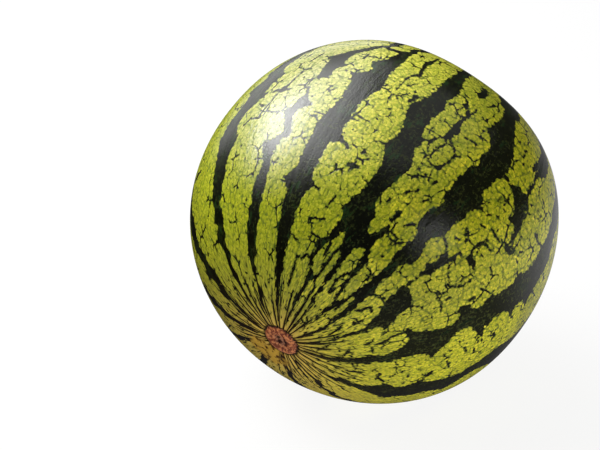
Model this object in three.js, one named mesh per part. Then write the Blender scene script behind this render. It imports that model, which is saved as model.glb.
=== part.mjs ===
import * as THREE from 'three';

// A whole striped watermelon lying on its side, in millimetres, with +Z up.
// The origin is the middle of the small flat that the fruit rests on. The blossom end faces -Y and
// droops, and the stem end faces +Y. The fruit grew as one piece, so it is one closed body.
//
// A point of the rind is given by two angles: "along", from 0 at the blossom end to 180 at the stem
// end, and "round", from 0 at the top of the fruit through 90 on its +X side.

// Driving dimensions: the fruit as a whole
const GIRTH_RADIUS = 120.8; // at the widest ring
const BLOSSOM_LENGTH = 119.4; // from the widest ring to the blossom end
const STEM_LENGTH = 106.9; // from the widest ring to the stem end
const BLOSSOM_FULLNESS = 2.2; // 2 is half an ellipse, and more has fuller shoulders
const STEM_FULLNESS = 2.15;
const DROOP = THREE.MathUtils.degToRad(18); // how far below level the blossom end points
const MIDDLE = new THREE.Vector3(0.5, 8.2, 118.9); // of the widest ring, seen from the resting flat

// The fruit is a little wider than it is high, and its stem half has blunt shoulders.
const SAG = { waves: 2, height: 0.011, turn: 91 };
const LEAN = { waves: 3, height: 0.005, turn: -36 };
const STEM_SHOULDERS = [
  { waves: 4, height: 0.0126, turn: 57 },
  { waves: 5, height: 0.0138, turn: -2 },
];

// The corky button at the blossom end, and the rind drawn in round it
const BUTTON_RADIUS = 12.5;
const BUTTON_RIM = { distance: 8.5, width: 3, height: 0.6 };
const BUTTON_CREASE = { distance: BUTTON_RADIUS, width: 1.4, height: -0.8 };
const BUTTON_HOLLOW = { distance: 0, width: 4.5, height: -1.8 };
const PUCKERS = 16; // folds of rind that run out from the button
const PUCKER_DEPTH = 0.9;
const PUCKER_REACH = 34; // distance from the end where the folds die out

// The dimple at the stem end, with the short stump of the dried stalk
const DIMPLE = { distance: 0, width: 24, height: -6 };
const STALK_RADIUS = 4.6;
const STALK_HEIGHT = 7;
const STALK_FOOT = 2.2; // how wide the stalk flares where it grows out of the rind
const GROOVES = 10; // drawn-in grooves round the stalk
const GROOVE_DEPTH = 0.5;
const GROOVE_REACH = 40;

// How finely the surface is cut into flat faces
const SIDES = 80; // round the fruit
const FINE_STEP = THREE.MathUtils.degToRad(0.65); // between rings at the two ends
const WIDE_STEP = THREE.MathUtils.degToRad(4.5); // between rings on the plain rind
const STEP_GROWTH = 0.13; // of the step for each unit of angle away from an end

const BLOSSOM_WARD = new THREE.Vector3(0, -Math.cos(DROOP), -Math.sin(DROOP));
const TOP_WARD = new THREE.Vector3(0, -Math.sin(DROOP), Math.cos(DROOP));
const SIDE_WARD = new THREE.Vector3(1, 0, 0);

function wave({ waves, height, turn }, round) {
  return height * Math.cos(waves * (round - THREE.MathUtils.degToRad(turn)));
}

// A round swelling, or a ring of it, at a distance from one end
function swelling({ distance, width, height }, fromEnd) {
  return height * Math.exp(-(((fromEnd - distance) / width) ** 2));
}

// Radius of the plain, smooth fruit
function plainRadius(along, round) {
  const cosine = Math.cos(along);
  const sine = Math.sin(along);
  const length = cosine > 0 ? BLOSSOM_LENGTH : STEM_LENGTH;
  const fullness = cosine > 0 ? BLOSSOM_FULLNESS : STEM_FULLNESS;
  const lengthPart = (Math.abs(cosine) / length) ** fullness;
  const girthPart = (sine / GIRTH_RADIUS) ** fullness;
  const radius = (lengthPart + girthPart) ** (-1 / fullness);

  const stemWeight = sine ** 2 * (1 - cosine) / 2;
  const shoulders = STEM_SHOULDERS.reduce((sum, lobe) => sum + wave(lobe, round), 0);
  return radius * (1 + sine ** 2 * wave(SAG, round) + sine ** 3 * wave(LEAN, round)
    + stemWeight * shoulders);
}

// Folds that begin at a distance from one end, and die out at their reach
function folds(count, depth, start, reach, fromEnd, round) {
  const rise = THREE.MathUtils.smoothstep(fromEnd, start * 0.7, start * 1.3);
  const fall = 1 - THREE.MathUtils.smoothstep(fromEnd, start, reach);
  return -depth * rise * fall * (0.5 + 0.5 * Math.cos(count * round));
}

function blossomRelief(fromEnd, round) {
  return swelling(BUTTON_RIM, fromEnd) + swelling(BUTTON_CREASE, fromEnd)
    + swelling(BUTTON_HOLLOW, fromEnd)
    + folds(PUCKERS, PUCKER_DEPTH, BUTTON_RADIUS, PUCKER_REACH, fromEnd, round);
}

function stemRelief(fromEnd, round) {
  const outOfStalk = THREE.MathUtils.smoothstep(fromEnd, STALK_RADIUS, STALK_RADIUS + STALK_FOOT);
  return swelling(DIMPLE, fromEnd) + STALK_HEIGHT * (1 - outOfStalk)
    + folds(GROOVES, GROOVE_DEPTH, STALK_RADIUS * 2, GROOVE_REACH, fromEnd, round);
}

// Point of the rind, with the fruit's underside pressed flat where it rests
function rindPoint(along, round) {
  const relief = blossomRelief(along * BLOSSOM_LENGTH, round)
    + stemRelief((Math.PI - along) * STEM_LENGTH, round);
  const radius = plainRadius(along, round) + relief;
  const point = MIDDLE.clone()
    .addScaledVector(BLOSSOM_WARD, radius * Math.cos(along))
    .addScaledVector(TOP_WARD, radius * Math.sin(along) * Math.cos(round))
    .addScaledVector(SIDE_WARD, radius * Math.sin(along) * Math.sin(round));
  point.z = Math.max(point.z, 0);
  return point;
}

// Angles of the rings, close together at both ends
function ringAngles() {
  const angles = [];
  let along = FINE_STEP;
  while (along < Math.PI - FINE_STEP) {
    angles.push(along);
    const fromEnd = Math.min(along, Math.PI - along);
    along += Math.min(WIDE_STEP, FINE_STEP + STEP_GROWTH * fromEnd);
  }
  return angles;
}

function rindGeometry() {
  const rings = ringAngles();
  const points = [rindPoint(0, 0)];
  for (const along of rings) {
    for (let side = 0; side < SIDES; side += 1) {
      points.push(rindPoint(along, 2 * Math.PI * side / SIDES));
    }
  }
  points.push(rindPoint(Math.PI, 0));

  const blossomTip = 0;
  const stemTip = points.length - 1;
  const corner = (ring, side) => 1 + ring * SIDES + side % SIDES;
  const last = rings.length - 1;
  const faces = [];
  for (let side = 0; side < SIDES; side += 1) {
    faces.push(blossomTip, corner(0, side + 1), corner(0, side));
    for (let ring = 0; ring < last; ring += 1) {
      const here = corner(ring, side);
      const beside = corner(ring, side + 1);
      const beyond = corner(ring + 1, side);
      const across = corner(ring + 1, side + 1);
      faces.push(here, beside, across, here, across, beyond);
    }
    faces.push(stemTip, corner(last, side), corner(last, side + 1));
  }

  const geometry = new THREE.BufferGeometry().setFromPoints(points);
  geometry.setIndex(faces);
  geometry.computeVertexNormals();
  return geometry;
}

const rind = new THREE.MeshStandardMaterial({ color: 0x6b7a2a, roughness: 0.4, metalness: 0 });
const watermelon = new THREE.Mesh(rindGeometry(), rind);
watermelon.name = 'watermelon';

const part = new THREE.Group();
part.add(watermelon);
export default part;
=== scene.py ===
"""The looks of a whole striped watermelon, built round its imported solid.

Lengths are in millimetres, and in metres from the studio on. A point of the rind is placed by two angles, as
on the solid: "along", from 0 at the blossom end to 180 at the stem end, and "turn", from 0 at the fruit's top
through 90 on its +X side. The form takes them in radians, and the markings and colours in degrees."""

import math

import bpy
import numpy as np
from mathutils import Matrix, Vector


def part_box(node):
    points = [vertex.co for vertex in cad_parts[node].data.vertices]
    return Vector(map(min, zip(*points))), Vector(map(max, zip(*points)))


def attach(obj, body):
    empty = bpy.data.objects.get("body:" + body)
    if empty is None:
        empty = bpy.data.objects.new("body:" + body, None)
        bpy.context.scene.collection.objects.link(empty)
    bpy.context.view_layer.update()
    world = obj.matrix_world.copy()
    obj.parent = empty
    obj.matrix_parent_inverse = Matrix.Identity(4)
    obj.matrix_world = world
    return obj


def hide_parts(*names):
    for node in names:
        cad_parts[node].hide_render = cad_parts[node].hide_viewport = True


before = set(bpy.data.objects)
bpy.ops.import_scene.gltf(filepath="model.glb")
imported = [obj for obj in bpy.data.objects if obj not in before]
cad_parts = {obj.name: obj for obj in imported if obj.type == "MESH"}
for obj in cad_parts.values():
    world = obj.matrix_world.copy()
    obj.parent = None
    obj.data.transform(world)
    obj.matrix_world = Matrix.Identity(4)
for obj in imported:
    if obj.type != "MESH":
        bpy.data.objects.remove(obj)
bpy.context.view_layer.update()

MM = 0.001

# ---------------------------------------------------------------- form, the same as the solid's

GIRTH_RADIUS = 120.8
BLOSSOM_LENGTH = 119.4
STEM_LENGTH = 106.9
BLOSSOM_FULLNESS = 2.2
STEM_FULLNESS = 2.15
DROOP = math.radians(18)
MIDDLE = np.array([0.5, 8.2, 118.9])

SAG = (2, 0.011, 91)  # waves round the fruit, height as a share of the radius, degrees to the first crest
LEAN = (3, 0.005, -36)
STEM_SHOULDERS = ((4, 0.0126, 57), (5, 0.0138, -2))

BUTTON_RADIUS = 12.5
BUTTON_RIM = (8.5, 3, 0.6)  # distance from the end, width, height
BUTTON_CREASE = (BUTTON_RADIUS, 1.4, -0.8)
BUTTON_HOLLOW = (0, 4.5, -1.8)
PUCKERS = 16
PUCKER_DEPTH = 0.9
PUCKER_REACH = 34

DIMPLE = (0, 24, -6)
STALK_RADIUS = 4.6
STALK_HEIGHT = 7
STALK_FOOT = 2.2
GROOVES = 10
GROOVE_DEPTH = 0.5
GROOVE_REACH = 40
FOLD_START = (0.7, 1.3)  # shares of a fold's first distance, between which it gets its depth

# Finer than the solid: pits and nubs of the blossom scar, as (from the end, degrees round, width, height)
SCAR_PITS = [(3.6, turn, 0.8, -0.9) for turn in (15, 95, 150, 215, 270, 325)]
SCAR_NUBS = [(3.4, 62, 0.8, 0.9), (4.4, 185, 0.9, 0.7), (5.2, 300, 1.0, 0.7), (6.4, 30, 1.1, 0.5),
             (6.2, 125, 1.2, 0.5), (6.8, 245, 1.2, 0.5)]

# How finely the skin is divided
SHOWN_SIDES = 330  # columns over the shown part of the girth
HIDDEN_SIDES = 62
SHOWN_FROM = -58  # degrees round
SHOWN_TO = 160
SHOWN_ALONG = math.radians(118)
FINE_STEP = math.radians(0.28)  # between rings at the two ends
WIDE_STEP = math.radians(0.66)  # between rings far from the ends
HIDDEN_STEP = math.radians(1.8)  # and past the shown part
STEP_GROWTH = 0.035  # of the step for each unit of angle away from an end

BLOSSOM_WARD = np.array([0, -math.cos(DROOP), -math.sin(DROOP)])
TOP_WARD = np.array([0, -math.sin(DROOP), math.cos(DROOP)])
SIDE_WARD = np.array([1.0, 0, 0])


def smoothstep(value, low, high):
    share = np.clip((value - low) / (high - low), 0, 1)
    return share * share * (3 - 2 * share)


def bell(value, middle, width):
    return np.exp(-(((value - middle) / width) ** 2))


def wave(lobe, turn):
    count, height, crest = lobe
    return height * np.cos(count * (turn - math.radians(crest)))


def swelling(bump, from_end):
    distance, width, height = bump
    return height * bell(from_end, distance, width)


def plain_radius(along, turn):
    cosine = np.cos(along)
    sine = np.sin(along)
    length = np.where(cosine > 0, BLOSSOM_LENGTH, STEM_LENGTH)
    fullness = np.where(cosine > 0, BLOSSOM_FULLNESS, STEM_FULLNESS)
    radius = ((np.abs(cosine) / length) ** fullness + (sine / GIRTH_RADIUS) ** fullness) ** (-1 / fullness)
    shoulders = sum(wave(lobe, turn) for lobe in STEM_SHOULDERS)
    stem_weight = sine ** 2 * (1 - cosine) / 2
    lobes = sine ** 2 * wave(SAG, turn) + sine ** 3 * wave(LEAN, turn) + stem_weight * shoulders
    return radius * (1 + lobes)


def folds(count, depth, start, reach, from_end, turn):
    rise = smoothstep(from_end, start * FOLD_START[0], start * FOLD_START[1])
    fall = 1 - smoothstep(from_end, start, reach)
    return -depth * rise * fall * (0.5 + 0.5 * np.cos(count * turn))


def scar_relief(from_end, turn):
    """Pits and nubs inside the button, each a round bump."""
    across = from_end * np.cos(turn)
    aside = from_end * np.sin(turn)
    relief = np.zeros(from_end.shape)
    for distance, degrees, width, height in SCAR_PITS + SCAR_NUBS:
        place = math.radians(degrees)
        gap = np.hypot(across - distance * math.cos(place), aside - distance * math.sin(place))
        relief += height * bell(gap, 0, width)
    return relief


def blossom_relief(from_end, turn):
    relief = sum(swelling(bump, from_end) for bump in (BUTTON_RIM, BUTTON_CREASE, BUTTON_HOLLOW))
    relief = relief + folds(PUCKERS, PUCKER_DEPTH, BUTTON_RADIUS, PUCKER_REACH, from_end, turn)
    return relief + scar_relief(from_end, turn)


def stem_relief(from_end, turn):
    out_of_stalk = smoothstep(from_end, STALK_RADIUS, STALK_RADIUS + STALK_FOOT)
    relief = swelling(DIMPLE, from_end) + STALK_HEIGHT * (1 - out_of_stalk)
    return relief + folds(GROOVES, GROOVE_DEPTH, STALK_RADIUS * 2, GROOVE_REACH, from_end, turn)


def rind_points(along, turn):
    """Points of the rind in millimetres, for arrays of both angles in radians."""
    relief = blossom_relief(along * BLOSSOM_LENGTH, turn)
    relief = relief + stem_relief((np.pi - along) * STEM_LENGTH, turn)
    radius = (plain_radius(along, turn) + relief)[:, None]
    across = np.cos(turn)[:, None] * TOP_WARD + np.sin(turn)[:, None] * SIDE_WARD
    return MIDDLE + radius * (np.cos(along)[:, None] * BLOSSOM_WARD + np.sin(along)[:, None] * across)


# ---------------------------------------------------------------- markings

# Each dark stripe of the shown side lies between two edges, lines of (along, turn) points from the
# blossom end to the stem end.
DARK_STRIPES = {
    "far_left": (
        [(12, -39), (20, -38.5), (40, -41), (55, -40.5), (62, -40), (67, -41.4), (71, -40.2), (73.6, -38.8),
         (77.3, -37), (81, -35.8), (83.6, -36.5), (85.5, -39), (87.5, -37), (91, -33.8), (94, -35.8),
         (98, -34.5), (104, -33), (112, -31), (130, -29.6), (150, -29), (172, -30)],
        [(12, -36.5), (20, -35), (31, -35.4), (40, -34.2), (46, -35), (55, -32.6), (61, -32.6),
         (65.7, -29.7), (68.2, -31.8), (70.5, -32.9), (73, -32.4), (75.5, -31.1), (76.8, -29.8),
         (79.5, -27.5), (81.2, -27), (81.8, -25.4), (82.5, -27.9), (87, -27.3), (88.6, -26), (90.5, -25),
         (91.8, -26.8), (94.1, -27.9), (96, -28.4), (98, -27.5), (104, -27), (112, -25.4), (130, -23),
         (150, -20), (172, -17)]),
    "left": (
        [(10, -17), (20, -17.3), (30, -17), (36, -18.4), (42, -18), (47, -16), (52, -15.6), (56.8, -13.8),
         (58.6, -15.2), (61, -16), (63.6, -16), (64.8, -12.5), (67.3, -10.6), (68.8, -10.6), (71.8, -12.5),
         (73.3, -13.4), (73.8, -15.6), (74.6, -14.2), (75.7, -12.2), (78, -11.9), (80.9, -10.6),
         (83.5, -10.8), (84.4, -12)],
        [(10, -14), (20, -13.6), (28, -13.4), (36, -12), (42, -12), (47, -10.4), (53, -10.6), (57.7, -10.9),
         (61.4, -11.1), (64.5, -10.2), (65.7, -8.4), (66.6, -7.1), (67.7, -7.2), (70, -8.8), (73.6, -10),
         (75, -9.5), (76.6, -8.3), (77.3, -5.4), (78.6, -6.5), (79.8, -8.3), (81.4, -9.5), (84.2, -10)]),
    "left_low": (
        [(88.6, -11.6), (89.4, -10.9), (90.5, -10.6), (93.6, -11.5), (97.3, -12.2), (98.8, -13),
         (99.9, -15.4), (100.4, -12.6), (101.8, -11.1), (103.2, -10.2), (105, -8.6), (108, -6.3),
         (112, -4.6), (115, -2.8), (120, -2.6), (130, -8.8), (150, -9.7), (172, -9.8)],
        [(88.3, -9.9), (89, -8.4), (89.2, -5.9), (90.9, -7.2), (93.2, -7.2), (95, -6.6), (96.6, -4.2),
         (97.6, -6.4), (100.9, -6.5), (104, -6), (106, -4.6), (108, -3.9), (112, -1.8), (115, 0.2), (120, 1),
         (130, -3.2), (150, -0.3), (172, 3.8)]),
    "crown": (
        [(9, 3.2), (12, 2.6), (20, 2.4), (28, 1.4), (36, -0.3), (45, -0.8), (50.7, -0.9), (52, -1.5),
         (53.2, -2.9), (53.8, -4.2), (54.6, -3.2), (55.5, -2), (56.8, -1.1), (58.2, -0.5), (61, -0.2),
         (65.5, -0.5), (75.5, -0.4), (78.2, 0.7), (80, 1.2), (84, 1.4), (86.8, 0.7), (90, 0.6), (92.3, -0.4),
         (93, -1.5), (94, -4.2), (94.4, -0.4), (95.5, 1.9), (96.6, 2.6), (98.5, 3), (100.5, 1.6),
         (101.6, 0.8), (102.6, 1.4), (103.8, 3), (107, 4.3), (113, 4.9), (120, 5.2), (132, 4.5),
         (150, 3.3), (172, 3)],
        [(9, 6.4), (12, 6.4), (20, 6.6), (28, 6.6), (36, 6.4), (45.3, 5.8), (49.9, 6.2), (52.2, 6.8),
         (53.8, 8.3), (55.1, 8.4), (56.1, 7), (58, 6.4), (63.8, 5.9), (67, 6.3), (68.4, 7.1), (69.5, 9.2),
         (70.7, 9.9), (71.8, 8.2), (74, 7.5), (77.4, 8.4), (79.2, 7.6), (83.6, 7.8), (88.2, 8.8), (92, 10.1),
         (95.2, 9.8), (98, 8.8), (109.4, 8.8), (117.5, 7.9), (126, 8.4), (132, 9.6), (150, 12.7),
         (172, 17)]),
    "second_top": (
        [(8.5, 20.4), (14, 20.2), (20, 21), (22.5, 20.6), (25, 21.9), (28, 22.2), (30, 21.9), (33.5, 20.7)],
        [(8.5, 23), (14, 23.4), (20, 24), (22.5, 24.8), (25, 25), (28, 25), (30, 25.6), (31.2, 26.8),
         (32.2, 25.4), (33.5, 22)]),
    "second": (
        [(33, 20.9), (34.2, 20.5), (35.3, 18.8), (36.5, 19), (38.4, 19.7), (40, 19.2), (41.3, 18),
         (42, 19.6), (43, 22), (46, 22.5), (51.5, 23), (52.7, 20.8), (54, 21.5), (56, 22.4), (60, 24),
         (66, 24.3), (70, 24.1), (72.5, 23.2), (74.4, 21.6), (75.8, 21.3), (77.5, 22.3), (80, 23.1),
         (84.4, 22.5), (86.6, 21.1), (91.7, 20.2), (94, 21.2), (97.1, 22.5), (100, 23.3), (109.8, 23.4),
         (115.5, 24.1), (126, 23.6), (138, 24.5), (150, 25), (172, 24)],
        [(33, 41.3), (39, 41.3), (44.2, 41.1), (45.7, 40.5), (46.7, 39.2), (48.5, 38.2), (51.5, 38.4),
         (54.5, 39.8), (55.9, 38.8), (57.4, 37.8), (59, 37.8), (61.4, 39.3), (61.7, 37.2), (60, 36.4),
         (56.6, 37.3), (53.4, 36.3), (50.9, 35.6), (50.2, 34.6), (52, 33.1), (54, 32.2), (55.8, 32.6),
         (57, 31.3), (59, 30.2), (62.6, 29.7), (65.3, 30.5), (68.8, 31.1), (72.6, 32.5), (75.7, 30.7),
         (78.8, 29.7), (82.7, 30.5), (84.8, 28.4), (91.7, 28.1), (95.2, 29.1), (96.7, 29.5), (99.6, 28.2),
         (104.8, 29.2), (106.3, 30.1), (109.4, 29.5), (114.4, 28.2), (126, 28.4), (138, 30), (150, 32),
         (172, 36)]),
    "second_fork": (
        [(9, 34.6), (14, 34.4), (20, 33.3), (25, 32.4), (30, 31.8), (34, 31.5)],
        [(9, 37), (14, 36.9), (20, 35.1), (25, 34), (30, 33.5), (34, 33.7)]),
    "third": (
        [(8, 56.5), (12, 55.6), (20, 54), (25, 52.2), (30, 50.6), (32.5, 49.9), (34.5, 48.6), (35, 47.2),
         (36.5, 46.6), (38.4, 47), (39.9, 47.6), (42.2, 46.7), (44.5, 47.6), (48, 47.2), (51, 46.1),
         (57.6, 46.7), (60, 46.3), (62.2, 44.4), (64.9, 44), (68.4, 44.7), (70, 45.7), (71.7, 46.1),
         (73.8, 44.2), (75.5, 45), (81.3, 44.5), (83.2, 45.3), (86.4, 45.4), (86.9, 46.5), (88.2, 47.2),
         (91.7, 46.1), (94, 46.8), (97, 46.7), (99.6, 45.3), (101.3, 43), (105.5, 43.8), (109, 44.9),
         (113, 45.5), (116, 44.9), (119.4, 43.2), (126, 42.6), (138, 44), (150, 45), (172, 44)],
        [(8, 60.4), (12, 60.2), (15, 59.3), (20, 57.2), (25, 55.3), (30, 54.4), (33, 53.5), (36.5, 52.5),
         (38.8, 52.7), (39.4, 54.2), (40.1, 52.2), (43.4, 50.2), (46.3, 51.4), (48, 50.6), (49.9, 50.6),
         (52, 51.7), (54.3, 53.9), (57.2, 52), (59.2, 51.2), (61.5, 50.9), (63.4, 51.4), (64.4, 53.3),
         (65.7, 53.5), (67.5, 52.8), (71, 53.3), (75.7, 53.9), (78.2, 55.4), (80.5, 55), (81.9, 53.5),
         (83.5, 53.2), (86.3, 54), (87.3, 53.6), (90.2, 54.2), (92.2, 55.4), (93.4, 55.2), (95.5, 55.8),
         (99, 54.7), (101.7, 54.3), (104.4, 53.1), (107.5, 52), (112, 50.4), (117, 51), (126, 52.5),
         (138, 54), (150, 55), (172, 56)]),
    "fourth": (
        [(8, 72.5), (13, 70.6), (15, 69.4), (18, 68.4), (20, 69), (23, 67.8), (25, 66.9), (30, 67.2),
         (32, 65.6), (35, 63.4), (37.6, 62.2), (41, 58.9), (42, 58), (44.5, 58.2), (46.8, 56.4),
         (47.9, 57.4)],
        [(8, 75), (13, 74), (15, 71.9), (18, 71.9), (20, 71.2), (25, 69.7), (30, 69.7), (33, 69),
         (35.2, 68.5), (36.3, 72.8), (37.2, 71), (39, 70.2), (41, 67.7), (44.5, 66.2), (46, 66.6),
         (47, 65), (47.8, 61.5), (48.2, 58.6)]),
    "fourth_low": (
        [(47.5, 57.2), (50.4, 57.4), (54.5, 57.4), (55.3, 56.2), (57.2, 57), (59.7, 57.5), (62.3, 57),
         (63.3, 57)],
        [(47.5, 58), (50.4, 58.2), (53, 58.4), (54.5, 59), (55.3, 60.4), (57.2, 59.7), (58.8, 60.2),
         (62.2, 61), (64, 60.2)]),
    "fourth_slant": (
        [(78.2, 70.2), (79.4, 69.6), (81.1, 69.5), (83.4, 68.8), (84.4, 67.6), (84.5, 66.2), (83.9, 64.3),
         (83.8, 62.8), (84.8, 64.5), (86.1, 64.9), (88, 63.8), (89.8, 62.2), (91.6, 59.3), (92.1, 57.2),
         (92.3, 54.6), (93.2, 54.8), (93.2, 57), (92.9, 60.2), (94.8, 61.2), (94.3, 63), (95.2, 64.7),
         (97, 64), (99.4, 64), (101.3, 64.8), (103.4, 63.8), (104, 61.4), (107.1, 62.3), (112, 64.1),
         (126, 63.5), (145, 64), (170, 64)],
        [(78.3, 72.6), (79, 73.8), (80.3, 75), (80.9, 73), (81.7, 71.4), (84, 70.6), (86.3, 70), (88.4, 69),
         (90.8, 69.7), (92.3, 68.2), (94.6, 66.2), (96.3, 65.2), (98.4, 66), (100.9, 66), (102.6, 65.3),
         (104.4, 65.8), (107.8, 68.7), (112, 70.2), (126, 69.5), (145, 72), (170, 74)]),
    "fifth": (
        [(8, 94.5), (14, 94), (20, 91.9), (26, 90.3), (27.2, 88.2), (30, 87.5), (32.4, 88.5), (35.3, 87.5),
         (38, 85.4), (40.9, 81.9), (41.2, 80.4), (40.7, 78.7), (41.6, 75), (43, 76), (43.4, 77.7),
         (44.9, 79), (49.2, 80.8), (52.6, 82.1), (54.9, 81.7), (56.3, 80.8), (57, 79.2), (56.8, 76.6),
         (59.2, 76.9), (60.5, 77.3), (61.3, 80), (62.6, 81.3), (64.5, 81.2), (65.7, 80.2), (68, 80.2),
         (69.5, 81.3), (75.7, 82.5), (78.6, 81.4), (80.2, 81.6), (81.9, 83.1), (84, 83.8), (89.2, 83.5),
         (92.6, 81.6), (94.4, 82.2), (99, 81.2), (102, 80), (105.2, 78.3), (107.5, 78.8), (113, 77.6),
         (126, 79), (150, 80.5), (172, 80)],
        [(8, 99.5), (14, 99), (21, 97.4), (23, 96.5), (24.5, 97), (26, 96.5), (27.5, 97), (28.5, 95.5),
         (30, 94.5), (32, 94), (34.5, 94.4), (37, 92.3), (42.5, 91.3), (44.5, 91.5), (45.6, 93.3),
         (46.5, 95.8), (47.4, 94.1), (49.5, 91.6), (51.5, 90), (53.4, 87.7), (54.9, 86.7), (56.8, 86.2),
         (58.6, 86.9), (59.9, 88.8), (61.2, 93.9), (62.5, 93.8), (63.2, 90.4), (64.9, 91), (67, 89.7),
         (69.2, 89.6), (71.5, 90.4), (73.2, 92.3), (73.9, 96), (74.8, 93.6), (76.1, 92.3), (78, 92.7),
         (80.2, 93.8), (80.9, 98.4), (82, 96), (84.8, 94), (88.6, 93.1), (92.5, 92.3), (95.5, 91.5),
         (98.6, 88.5), (102.1, 86.9), (107, 87.4), (113, 86), (126, 88), (150, 92), (172, 96)]),
    "sixth": (
        [(8, 127), (13, 129), (17, 129.6), (20, 127), (21.8, 121), (23.2, 121.8), (24.8, 124), (27, 122.5),
         (29, 122), (31.5, 119), (32.8, 117.3), (33.4, 115), (34.8, 115.4), (37.5, 117.6), (39, 117.3),
         (40.5, 116), (42.5, 113), (44.2, 109.8), (45.4, 106.6), (46.8, 103.4), (47.5, 107), (46, 108.6),
         (44.9, 110), (45.4, 112.6), (47.5, 113.5), (53.5, 112.8), (57.5, 112.8), (60, 110.8), (63.5, 109.5),
         (67.5, 108.3), (71, 108.1), (78, 111), (92, 112), (110, 112), (140, 110.5), (172, 108)],
        [(8, 130), (13, 132), (20, 132.5), (23, 130.4), (27, 128.8), (30, 130.5), (34, 131.5), (36, 133.4),
         (38, 133.6), (39.3, 132), (40, 129.5), (44, 128), (47, 124.5), (49, 123.8), (52, 123.9),
         (55, 125.7), (57, 121), (60, 117.5), (62.5, 116.5), (64.5, 116.3), (68.5, 118.5), (72.5, 122),
         (78, 120.5), (92, 120.5), (110, 120), (140, 118), (172, 120)]),
    "seventh": (
        [(8, 147), (12, 150.7), (20, 153.6), (25, 154.3), (30, 155.7), (36, 155), (45, 149), (54, 150),
         (62, 146), (72, 148), (85, 147), (96, 149), (110, 147), (125, 145), (140, 146), (172, 144)],
        [(8, 151), (12, 154.3), (20, 157), (25, 160.7), (30, 161.4), (36, 162), (44, 157), (52, 159),
         (60, 155), (70, 158), (80, 156), (92, 159), (104, 156), (118, 157), (140, 154), (172, 152)]),
}

# Light fingers and islands over the dark stripes, as closed outlines.
LIGHT_ISLANDS = {
    "finger_one": [(32.3, 24.6), (33, 21.8), (35.3, 21.5), (37.6, 21.7), (39.9, 22.4), (42, 23.5),
                   (43.8, 25.3), (45.7, 25.4), (47.2, 26.1), (47.4, 26.9), (45.4, 28.3), (43, 28.5),
                   (40.3, 27.8), (38, 27.2), (33, 27.4), (31, 27.6)],
    "finger_two": [(31, 28.4), (36, 28.2), (40.7, 28.6), (42.5, 29.3), (41.5, 30.4), (38, 30.9),
                   (35.3, 31.3), (31, 31.7)],
    "finger_three": [(31, 33.7), (38.4, 33.7), (42, 33.2), (44.9, 33.8), (46.8, 35), (46.7, 36.8),
                     (45, 38.4), (41.8, 39), (39.9, 38.8), (39, 37.4), (36.5, 36.7), (34.9, 36.1), (31, 36)],
    "finger_four": [(31, 36.8), (35.3, 37.2), (37.2, 37.8), (38.4, 38.8), (38, 39.8), (36, 39.9), (31, 40)],
}

# Narrow dark marks that branch off the stripes, as points of (along, turn, half width in millimetres).
DARK_SPURS = [
    [(113.4, -2, 1.8), (112.6, 4.5, 2)],
    [(81.6, -24, 1), (82.6, -22.4, 1.2), (82.8, -20, 2.8), (82.9, -17.2, 0.8)],
    [(91.8, 19.4, 1), (94, 20, 1.6), (96, 19.8, 1)],
    [(12.5, 46, 0.5), (15.3, 44.4, 0.6), (21, 44, 0.8), (25.6, 44.7, 0.9), (28.8, 44.8, 1.9),
     (30.6, 42.6, 0.9), (32.5, 41.3, 0.8), (38, 40.9, 0.9), (43, 40.4, 1.2)],
    [(21.6, 44.2, 0.6), (23.2, 46.2, 0.9), (22.6, 47.6, 0.5)],
    [(29.3, 45.5, 1.2), (31.9, 46.6, 0.7), (35.2, 47, 0.9)],
    [(45.8, 66.4, 0.8), (48.4, 69.1, 0.6)],
    [(59.9, 69.5, 0.8), (62.2, 70.2, 0.9), (63.6, 70.6, 1.3)],
    [(63.8, 60, 0.7), (65.4, 60.4, 0.7), (65.8, 62.5, 0.8), (66.8, 64.5, 1.7), (66.8, 66.5, 1.8),
     (66.1, 68.1, 1.4)],
    [(68, 63.7, 0.9), (69.3, 62.6, 0.9), (71, 62.9, 0.9), (73, 63.9, 1), (73.6, 66.8, 0.9)],
    [(78.7, 54.8, 1.6), (79.2, 57, 1.4), (79.9, 59.3, 0.7)],
    [(90.8, 76.2, 0.8), (91.2, 77.3, 1.5), (90.7, 78.8, 0.8), (91.5, 80.4, 0.7), (92.4, 82.2, 0.8)],
    [(61.1, 93.6, 0.8), (60.9, 95.6, 0.7), (61.4, 97.6, 0.6)],
    [(62.4, 93.6, 0.8), (62.7, 95.4, 0.7), (62, 97.6, 0.6)],
    [(31.6, 105, 0.6), (31.2, 107.5, 0.9), (31, 110, 1.3), (30.4, 112, 0.8)],
    [(32, 110.6, 0.8), (33.2, 113.5, 0.7), (33.4, 116, 0.8)],
    [(104, 33.4, 1.6), (102.6, 35.2, 1.6), (100.2, 36.1, 1.7), (98, 35.5, 1.4), (96.5, 35.5, 1.3),
     (94.4, 35.5, 2), (92.3, 35.6, 3), (90, 35.4, 1.9), (88.6, 34.7, 0.9)],
    [(104, 33.6, 1.8), (105.6, 33.4, 1.1), (107.4, 32, 1), (107.6, 29.6, 1)],
    [(111.5, 35.4, 0.4), (114, 35.5, 2), (117, 35.7, 3), (119.5, 35.7, 3.2), (124, 36.8, 1.2)],
    [(83.4, 29.9, 0.8), (83.8, 31.8, 0.8), (86.3, 32.6, 0.8), (88.8, 34.8, 0.9)],
    [(114.5, 14.6, 2.6), (117, 14.8, 1)],
    [(9, 160, 0.7), (15, 161.2, 0.6), (20, 162.5, 0.7), (24, 163, 0.4)],
    [(14, 174, 0.5), (20, 175.6, 0.6), (24, 176, 0.4)],
]

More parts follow.
